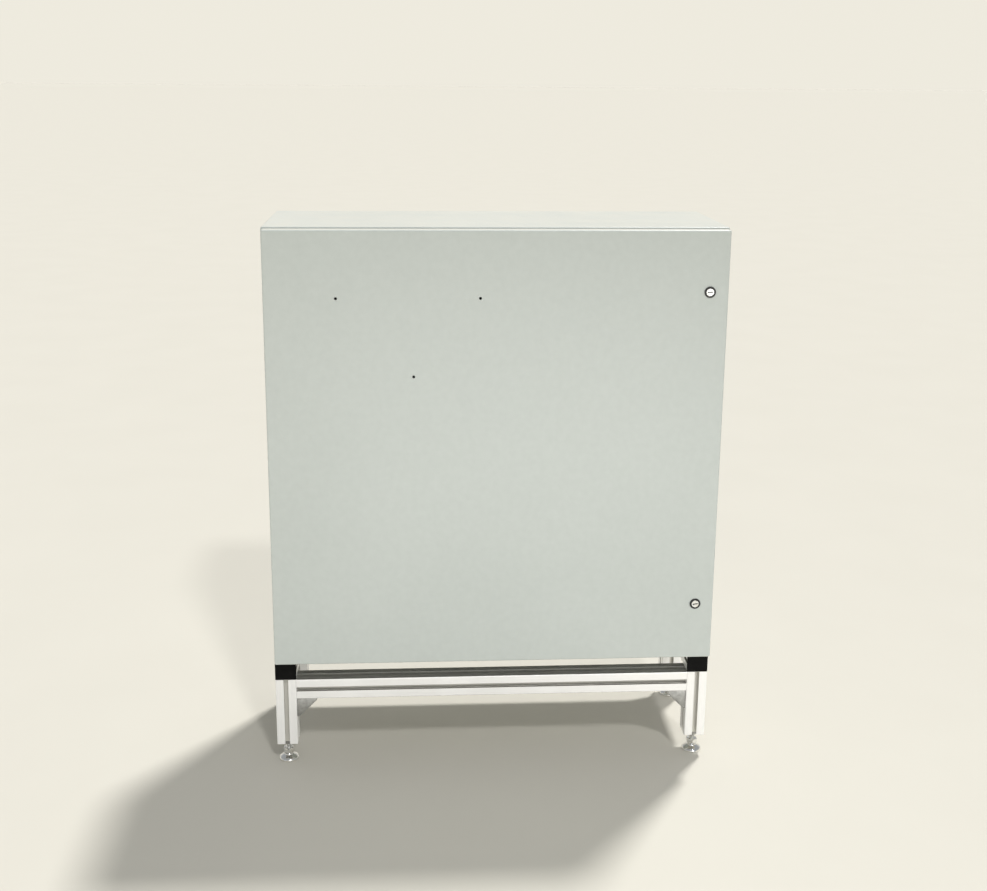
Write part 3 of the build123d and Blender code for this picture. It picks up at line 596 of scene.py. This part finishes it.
def powder_coat(name, thin_dust_and_highlight, thick_dust_and_highlight):
    """Powder coat with dust on it.

    The grey goes between two tones by the mean of broad clouds and a fine mottle, with sparse flecks
    over it and an orange-peel skin. Where the surface faces up, a pale dust tone covers it by a share
    between thin and thick, and adds to its roughness by that share. Laid thick, as on the door, the
    pale tone also serves as a painted highlight.
    """
    material, tree, shader, coordinates = new_finish(name)
    broad = clouds(tree, coordinates, paint_clouds_a_metre, detail=1.0)
    mottle = clouds(tree, coordinates, paint_mottle_a_metre, detail=paint_mottle_detail)
    mixed = worked_out(tree, "MULTIPLY", worked_out(tree, "ADD", broad, mottle), 1 / 2)
    grey = two_tone(tree, mixed, paint_tone, paint_tone_light, *paint_cloud_reach)
    flecks = clouds(tree, coordinates, paint_flecks_a_metre, detail=1.0)
    fleck_share = between(tree, flecks, 0.0, paint_fleck_share, *paint_fleck_reach)
    flecked = covered(tree, fleck_share, grey, paint_fleck)
    dust = clouds(tree, coordinates, dust_clouds_a_metre, detail=dust_cloud_detail)
    thickness = between(tree, dust, thin_dust_and_highlight, thick_dust_and_highlight, *dust_cloud_reach)
    facing_up = between(tree, upward_share(tree), 0.0, 1.0, *dust_and_highlight_above)
    share = worked_out(tree, "MULTIPLY", facing_up, thickness)
    tree.links.new(covered(tree, share, flecked, dust_and_highlight_tone), shader.inputs["Base Color"])
    gloss = between(tree, broad, *paint_roughness, *paint_cloud_reach)
    dulled = between(tree, share, 0.0, dust_dulls, 0.0, 1.0)
    tree.links.new(worked_out(tree, "ADD", gloss, dulled), shader.inputs["Roughness"])
    shader.inputs["Specular IOR Level"].default_value = paint_specular
    relief(tree, shader, clouds(tree, coordinates, orange_peel_a_metre, detail=1.0), orange_peel_depth)
    return material


paint_finish = powder_coat("powder_coat", thin_dust_and_highlight=0.45, thick_dust_and_highlight=0.8)
dress("enclosure_body", paint_finish)


# Cable entry. A painted steel plate over the opening in the floor, on a foam gasket, held by eight
# zinc-plated screws. It is drilled for glands on site.

foam_dark = (0.022, 0.022, 0.023)
foam_light = (0.036, 0.036, 0.037)
foam_clouds_a_metre = 60
foam_roughness = 0.85
foam_pores_a_metre = 1400
foam_pore_depth = 0.00015


def closed_cell_foam(name):
    """Closed-cell foam: dark grey, dull, with fine pores."""
    material, tree, shader, coordinates = new_finish(name)
    pores = add_node(tree, "ShaderNodeTexVoronoi", {"Vector": coordinates, "Scale": foam_pores_a_metre})
    tone = two_tone(tree, clouds(tree, coordinates, foam_clouds_a_metre), foam_dark, foam_light)
    tree.links.new(tone, shader.inputs["Base Color"])
    shader.inputs["Roughness"].default_value = foam_roughness
    relief(tree, shader, pores.outputs["Distance"], foam_pore_depth)
    return material


foam_finish = closed_cell_foam("closed_cell_foam")
dress("gland_plate", paint_finish)
dress("gland_gasket", foam_finish)
dress("gland_screws", screw_finish)
dress("enclosure_bolts", screw_finish)


# Mounting plate. Galvanised sheet with its edges folded back and its corners notched, on four
# studs welded to the rear wall. Nuts clamp it, and equipment is screwed to its face.

zinc_dark = (0.46, 0.48, 0.50)
zinc_light = (0.66, 0.68, 0.69)
spangles_a_metre = 110
spangle_roughness = (0.34, 0.52)
spangle_metallic = 0.95
spangle_depth = 0.00003


def galvanised_sheet(name):
    """Hot-dip zinc: crystals of a centimetre or so, each with its own grey and gloss."""
    material, tree, shader, coordinates = new_finish(name)
    inputs = {"Vector": coordinates, "Scale": spangles_a_metre}
    crystals = add_node(tree, "ShaderNodeTexVoronoi", inputs)
    channels = add_node(tree, "ShaderNodeSeparateColor", {"Color": crystals.outputs["Color"]})
    shade = channels.outputs["Red"]
    tree.links.new(two_tone(tree, shade, zinc_dark, zinc_light, 0.0, 1.0), shader.inputs["Base Color"])
    tree.links.new(between(tree, shade, *spangle_roughness, 0.0, 1.0), shader.inputs["Roughness"])
    shader.inputs["Metallic"].default_value = spangle_metallic
    relief(tree, shader, crystals.outputs["Distance"], spangle_depth)
    return material


galvanised_finish = galvanised_sheet("galvanised_sheet")
dress("mounting_plate", galvanised_finish)

stud_radius = 0.004
stud_pitch = 0.00125
stud_thread_depth = 0.0007
stud_tip_chamfer = 0.0008
stud_steps_round = 32
collar_radius = 0.007
collar_length = 0.018
plate_nut_flats = 0.0128
plate_nut_height = 0.0064
plate_nut_chamfer = 0.0007
plate_nut_clearance = 0.0001
forward_axes = ((1, 0, 0), (0, 0, 1), (0, -1, 0))
stud_thread = (stud_radius, stud_pitch, stud_thread_depth)
low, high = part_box("plate_studs")
stud_length = high.y - low.y
stud_outline = np.concatenate([
    [(0, 0), (collar_radius, 0), (collar_radius, collar_length)],
    thread_rows(stud_radius, collar_length, stud_length - stud_tip_chamfer, stud_pitch),
    [(stud_radius - stud_tip_chamfer, stud_length), (0, stud_length)],
])
nut_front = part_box("plate_nuts")[1].y
stud_places = [
    (side_x, side_z) for side_x in (low.x + collar_radius, high.x - collar_radius)
    for side_z in (low.z + collar_radius, high.z - collar_radius)
]
plate_stud = turned(stud_outline, thread=stud_thread, columns=stud_steps_round)
plate_stud_shells = [placed(plate_stud, (x, high.y, z), forward_axes) for x, z in stud_places]
piece("threaded_plate_studs", plate_stud_shells, "cabinet_and_stand", screw_finish,
      ["plate_studs"])
plate_nut_bore = stud_radius + plate_nut_clearance
plate_nut_section = nut_profile(plate_nut_flats, plate_nut_height, plate_nut_bore, plate_nut_chamfer)
plate_nut = turned(plate_nut_section, plate_nut_flats, ring=True, columns=nut_steps_round)
plate_nut_shells = [placed(plate_nut, (x, nut_front, z), forward_axes) for x, z in stud_places]
piece("chamfered_plate_nuts", plate_nut_shells, "cabinet_and_stand", nut_finish,
      ["plate_nuts"])


# Bonding studs. Zinc-plated M8 studs welded to the cabinet's floor and to the inside of the door,
# where the earth leads are bolted.

backward_axes = ((1, 0, 0), (0, 0, -1), (0, 1, 0))


def bonding_stud(length):
    """A short threaded stud with a chamfered tip, standing on its own origin."""
    outline = np.concatenate([
        [(0, 0)],
        thread_rows(stud_radius, 0, length - stud_tip_chamfer, stud_pitch),
        [(stud_radius - stud_tip_chamfer, length), (0, length)],
    ])
    return turned(outline, thread=stud_thread, columns=stud_steps_round)


low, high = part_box("body_earth_stud")
stud_foot = ((low.x + high.x) / 2, (low.y + high.y) / 2, low.z)
stud = placed(bonding_stud(high.z - low.z), stud_foot)
piece("cabinet_bonding_stud", [stud], "cabinet_and_stand", screw_finish,
      ["body_earth_stud"])
low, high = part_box("door_earth_stud")
stud_foot = ((low.x + high.x) / 2, low.y, (low.z + high.z) / 2)
stud = placed(bonding_stud(high.y - low.y), stud_foot, backward_axes)
piece("door_bonding_stud", [stud], "door_assembly", screw_finish,
      ["door_earth_stud"])


# Door. A folded steel pan in the cabinet's powder coat, with openings for two latches and three
# small drilled holes. Two perforated galvanised rails stiffen it from inside.

# painted highlight: the door's pale dust is laid thicker, lightening its top return as the bright
# highlight along its top edge
dress("door", powder_coat("powder_coat_door", thin_dust_and_highlight=0.6, thick_dust_and_highlight=1.0))
for node in ("door_rail_left", "door_rail_right"):
    dress(node, galvanised_finish)


# Door seal. A bead of polyurethane foam poured into the door's edge in one run, slightly domed,
# which the cabinet's rim presses into.

seal_width = 0.008
seal_crown = 0.0012
seal_base_edge = 0.0004
seal_shoulder_drop = 0.002
seal_top_clearance = 0.0002
seal_corner_radius = 0.009
seal_ripple = 0.00008
seal_ripple_step = 2.4


def rounded_rectangle(width, height, radius, steps_side=60, steps_corner=14):
    """Points and outward normals once round a rectangle with arcs for corners.

    Each quarter is an arc of the radius about its own corner's centre, from the angle of one side
    to that of the next. The straight sides are divided evenly from one arc's end to the next's start.
    """
    quarter = np.arange(4)[:, None]
    sweep = np.linspace(0, math.pi / 2, steps_corner)[None, :]
    angle = quarter * math.pi / 2 + sweep
    sign_x = np.where((quarter == 0) | (quarter == 3), 1, -1)
    sign_z = np.where(quarter < 2, 1, -1)
    arc_x = sign_x * (width / 2 - radius) + radius * np.cos(angle)
    arc_z = sign_z * (height / 2 - radius) + radius * np.sin(angle)
    arc = np.stack([arc_x, arc_z], axis=-1)
    share = np.linspace(0, 1, steps_side + 2)[1:-1][None, :, None]
    side = arc[:, -1:] * (1 - share) + np.roll(arc, -1, axis=0)[:, :1] * share
    arc_normal = np.stack([np.cos(angle), np.sin(angle)], axis=-1)
    side_normal = np.repeat(arc_normal[:, -1:], steps_side, axis=1)
    path = np.concatenate([arc, side], axis=1).reshape(-1, 2)
    return path, np.concatenate([arc_normal, side_normal], axis=1).reshape(-1, 2)


low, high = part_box("door_gasket")
seal_height = high.y - low.y
path, normal = rounded_rectangle(
    high.x - low.x - seal_width, high.z - low.z - seal_width, seal_corner_radius)
bead = rounded([
    (-seal_width / 2, 0),
    (seal_width / 2, 0),
    (seal_width / 2, seal_height - seal_shoulder_drop),
    (seal_width / 4, seal_height - seal_top_clearance),
    (-seal_width / 4, seal_height - seal_top_clearance),
    (-seal_width / 2, seal_height - seal_shoulder_drop),
], [seal_base_edge] * 2 + [seal_crown * 2] * 4, closed=True)
ripple = 1 - seal_ripple / seal_height * (1 + np.sin(np.arange(len(path)) * seal_ripple_step))
centre_x = (low.x + high.x) / 2
centre_z = (low.z + high.z) / 2
across = path[:, None, :] + normal[:, None, :] * bead[None, :, :1]
depth = low.y + bead[None, :, 1] * ripple[:, None]
seal_points = np.stack([across[..., 0] + centre_x, depth, across[..., 1] + centre_z], axis=-1)
seal_shell = (seal_points.reshape(-1, 3), grid_quads(len(path), len(bead), True).tolist())
piece("foamed_door_seal", [seal_shell], "door_assembly", foam_finish, ["door_gasket"])


# Hinges. Two concealed steel hinges in the channel behind the door's left edge. A leaf is welded to
# the cabinet and one to the door, and a headed pin goes through their barrels.

bead_radius = 0.0014
bead_ripples_a_metre = 520
bead_rows = 41
bead_steps_round = 12
weld_end_inset = 0.001
weld_wall_inset = 0.002
weld_clouds_a_metre = 300
weld_roughness = 0.34
weld_grain_a_metre = 900
weld_grain_depth = 0.00006

for level in ("lower", "upper"):
    for node in ("hinge_body_leaf_", "hinge_door_leaf_", "hinge_pin_"):
        dress(node + level, nut_finish)


def weld_bead(start, end, radius):
    """A run of weld that doesn't lie along Y, as points and faces.

    Round the line from start to end, the radius at distance s is
    radius * sqrt(1 - (2 s / length - 1)^8) * (0.9 + 0.1 * |sin(pi * ripples * s)|).
    """
    start = np.asarray(start, float)
    end = np.asarray(end, float)
    length = np.linalg.norm(end - start)
    share = np.linspace(0, 1, bead_rows)
    swell = np.sqrt(np.clip(1 - (2 * share - 1) ** 8, 0, 1))
    ripple = 0.9 + 0.1 * np.abs(np.sin(math.pi * bead_ripples_a_metre * share * length))
    profile = np.stack([radius * swell * ripple, share * length], axis=1)
    along = (end - start) / length
    across = np.cross([0.0, 1.0, 0.0], along)
    across /= np.linalg.norm(across)
    bead = turned(profile, columns=bead_steps_round)
    return placed(bead, start, (across, np.cross(along, across), along))


def weld_metal(name):
    """Weld under paint: the cabinet's grey, a little glossier."""
    material, tree, shader, coordinates = new_finish(name)
    tone = two_tone(tree, clouds(tree, coordinates, weld_clouds_a_metre), paint_tone, paint_tone_light)
    tree.links.new(tone, shader.inputs["Base Color"])
    shader.inputs["Roughness"].default_value = weld_roughness
    relief(tree, shader, clouds(tree, coordinates, weld_grain_a_metre), weld_grain_depth)
    return material


weld_finish = weld_metal("painted_weld")
for level in ("lower", "upper"):
    low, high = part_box("hinge_body_leaf_" + level)
    toe = high.y - bead_radius / 2
    runs = [
        weld_bead((low.x + weld_wall_inset, toe, z), (high.x - weld_end_inset, toe, z), bead_radius)
        for z in (low.z, high.z)
    ]
    piece("weld_body_leaf_" + level, runs, "cabinet_and_stand", weld_finish)
    low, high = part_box("hinge_door_leaf_" + level)
    toe = low.y + bead_radius / 2
    runs = [
        weld_bead((low.x + weld_end_inset, toe, z), (high.x - weld_end_inset, toe, z), bead_radius)
        for z in (low.z, high.z)
    ]
    piece("weld_door_leaf_" + level, runs, "door_assembly", weld_finish)


# Latches. Quarter-turn locks: a black-coated die-cast housing clamped by a flat nut, with a bright
# slotted insert on a shaft that carries a steel cam behind the cabinet's flange.

ring_black = (0.012, 0.012, 0.013)
ring_black_worn = (0.030, 0.030, 0.032)
ring_wear_a_metre = 260
ring_wear_reach = (0.5, 0.75)
ring_roughness = (0.26, 0.40)
ring_grain_a_metre = 2400
ring_grain_depth = 0.00002
# painted shade: everything behind the insert's face, the slot too, is darkened as shade
slot_shade = (0.03, 0.03, 0.028)
slot_shade_start = 0.0003
slot_shade_full = 0.0008


def black_coat(name):
    """Black coating on a die casting: satin, rubbed a little lighter in places."""
    material, tree, shader, coordinates = new_finish(name)
    wear = clouds(tree, coordinates, ring_wear_a_metre)
    tone = two_tone(tree, wear, ring_black, ring_black_worn, *ring_wear_reach)
    tree.links.new(tone, shader.inputs["Base Color"])
    tree.links.new(between(tree, wear, *ring_roughness), shader.inputs["Roughness"])
    relief(tree, shader, clouds(tree, coordinates, ring_grain_a_metre), ring_grain_depth)
    return material


def slotted_insert(name, face_y):
    """Bright plating on the insert's face. All that lies behind it, the slot too, is painted dark as
    shade.
    """
    material = bright_zinc(name, grey=0.80, smooth=0.20, dull=0.34)
    tree = material.node_tree
    shader = tree.nodes["Principled BSDF"]
    plated = shader.inputs["Base Color"].links[0].from_socket
    coordinates = add_node(tree, "ShaderNodeTexCoord").outputs["Object"]
    depth = add_node(tree, "ShaderNodeSeparateXYZ", {0: coordinates}).outputs["Y"]
    sunk = between(tree, depth, 0.0, 1.0, face_y + slot_shade_start, face_y + slot_shade_full)
    tree.links.new(covered(tree, sunk, plated, slot_shade), shader.inputs["Base Color"])
    return material


ring_finish = black_coat("black_coat")
insert_finish = slotted_insert("bright_plated_insert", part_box("latch_core_lower")[0].y)
for level in ("lower", "upper"):
    dress("latch_housing_" + level, ring_finish)
    dress("latch_core_" + level, insert_finish)
    dress("latch_nut_" + level, nut_finish)
    dress("latch_cam_" + level, screw_finish)
    dress("latch_cam_nut_" + level, nut_finish)


# Studio. A plain pale floor under a sky that is pale low down and grey overhead, with a soft lamp
# high behind the cabinet, one in front and a low panel of light before the door. The camera stands
# where the photograph's did.

floor_tone = (0.628, 0.608, 0.550)
floor_tone_light = (0.636, 0.616, 0.558)
floor_clouds_a_metre = 3.0
floor_cloud_detail = 5.0
floor_roughness = 0.9
floor_specular = 0.05
floor_reach = 400.0
floor_corner = 0.2
sky_low = (0.858, 0.828, 0.734)
sky_high = (0.34, 0.35, 0.355)
sky_rise = (0.06, 0.55)
lamp_behind_tone = (1.0, 0.985, 0.955)
lamp_in_front_tone = (1.0, 0.99, 0.97)
panel_width = 1.7
panel_height = 0.8
panel_strength = 2.0
panel_spread = 75
panel_place = (0.30, -1.95, 0.40)
panel_facing = (90, 0, 6)
image_width = 987.0
image_height = 891.0
focal_pixels = 1247.2
optical_centre = (487.26, 368.41)
camera_place = (-0.16723, -2.61653, 1.46340)
camera_turn = (76.8617, -0.4464, -3.3221)
sensor_width = 36.0
sight_reach = 200.0


def pale_floor(name):
    """A sealed pale floor, almost even."""
    material, tree, shader, coordinates = new_finish(name)
    cloudy = clouds(tree, coordinates, floor_clouds_a_metre, detail=floor_cloud_detail)
    tree.links.new(two_tone(tree, cloudy, floor_tone, floor_tone_light), shader.inputs["Base Color"])
    shader.inputs["Roughness"].default_value = floor_roughness
    shader.inputs["Specular IOR Level"].default_value = floor_specular
    return material


floor_ground = rounded([(-1, -1), (1, -1), (1, 1), (-1, 1)], floor_corner, closed=True) * floor_reach
floor_points = np.concatenate([floor_ground, np.zeros((len(floor_ground), 1))], axis=1)
floor_mesh = bpy.data.meshes.new("floor")
floor_mesh.from_pydata(floor_points.tolist(), [], [list(range(len(floor_points)))])
floor_mesh.materials.append(pale_floor("pale_floor"))
floor = bpy.data.objects.new("floor", floor_mesh)
bpy.context.scene.collection.objects.link(floor)

world = bpy.data.worlds.new("pale_sky")
bpy.context.scene.world = world
world.use_nodes = True
sky = world.node_tree
direction = add_node(sky, "ShaderNodeTexCoord").outputs["Generated"]
climb = add_node(sky, "ShaderNodeSeparateXYZ", {0: direction}).outputs["Z"]
sky_colour = two_tone(sky, climb, sky_low, sky_high, *sky_rise)
sky.links.new(sky_colour, sky.nodes["Background"].inputs["Color"])
sky.nodes["Background"].inputs["Strength"].default_value = 1.0


def soft_lamp(name, strength, spread, elevation, heading):
    """A far lamp of some apparent width, in degrees, that shines from a heading and elevation."""
    light = bpy.data.lights.new(name, "SUN")
    light.energy = strength
    light.angle = math.radians(spread)
    lamp = bpy.data.objects.new(name, light)
    lamp.rotation_euler = (math.radians(90 - elevation), 0, math.radians(heading))
    bpy.context.scene.collection.objects.link(lamp)
    return light


behind = soft_lamp("lamp_behind", strength=2.65, spread=6, elevation=65.6, heading=143)
behind.color = lamp_behind_tone
in_front = soft_lamp("lamp_in_front", strength=0.80, spread=5, elevation=47.0, heading=19)
in_front.color = lamp_in_front_tone

panel_light = bpy.data.lights.new("panel_light", "AREA")
panel_light.shape = "RECTANGLE"
panel_light.size = panel_width
panel_light.size_y = panel_height
panel_light.energy = panel_strength
panel_light.spread = math.radians(panel_spread)
panel_lamp = bpy.data.objects.new("panel_lamp", panel_light)
panel_lamp.location = panel_place
panel_lamp.rotation_euler = [math.radians(angle) for angle in panel_facing]
bpy.context.scene.collection.objects.link(panel_lamp)

camera_data = bpy.data.cameras.new("camera")
camera_data.sensor_fit = "HORIZONTAL"
camera_data.sensor_width = sensor_width
camera_data.lens = focal_pixels / image_width * camera_data.sensor_width
camera_data.shift_x = (image_width / 2 - optical_centre[0]) / image_width
camera_data.shift_y = (optical_centre[1] - image_height / 2) / image_width
camera_data.clip_end = sight_reach
camera = bpy.data.objects.new("camera", camera_data)
camera.location = camera_place
camera.rotation_euler = [math.radians(angle) for angle in camera_turn]
bpy.context.scene.collection.objects.link(camera)
bpy.context.scene.camera = camera
bpy.context.scene.view_settings.view_transform = "Standard"
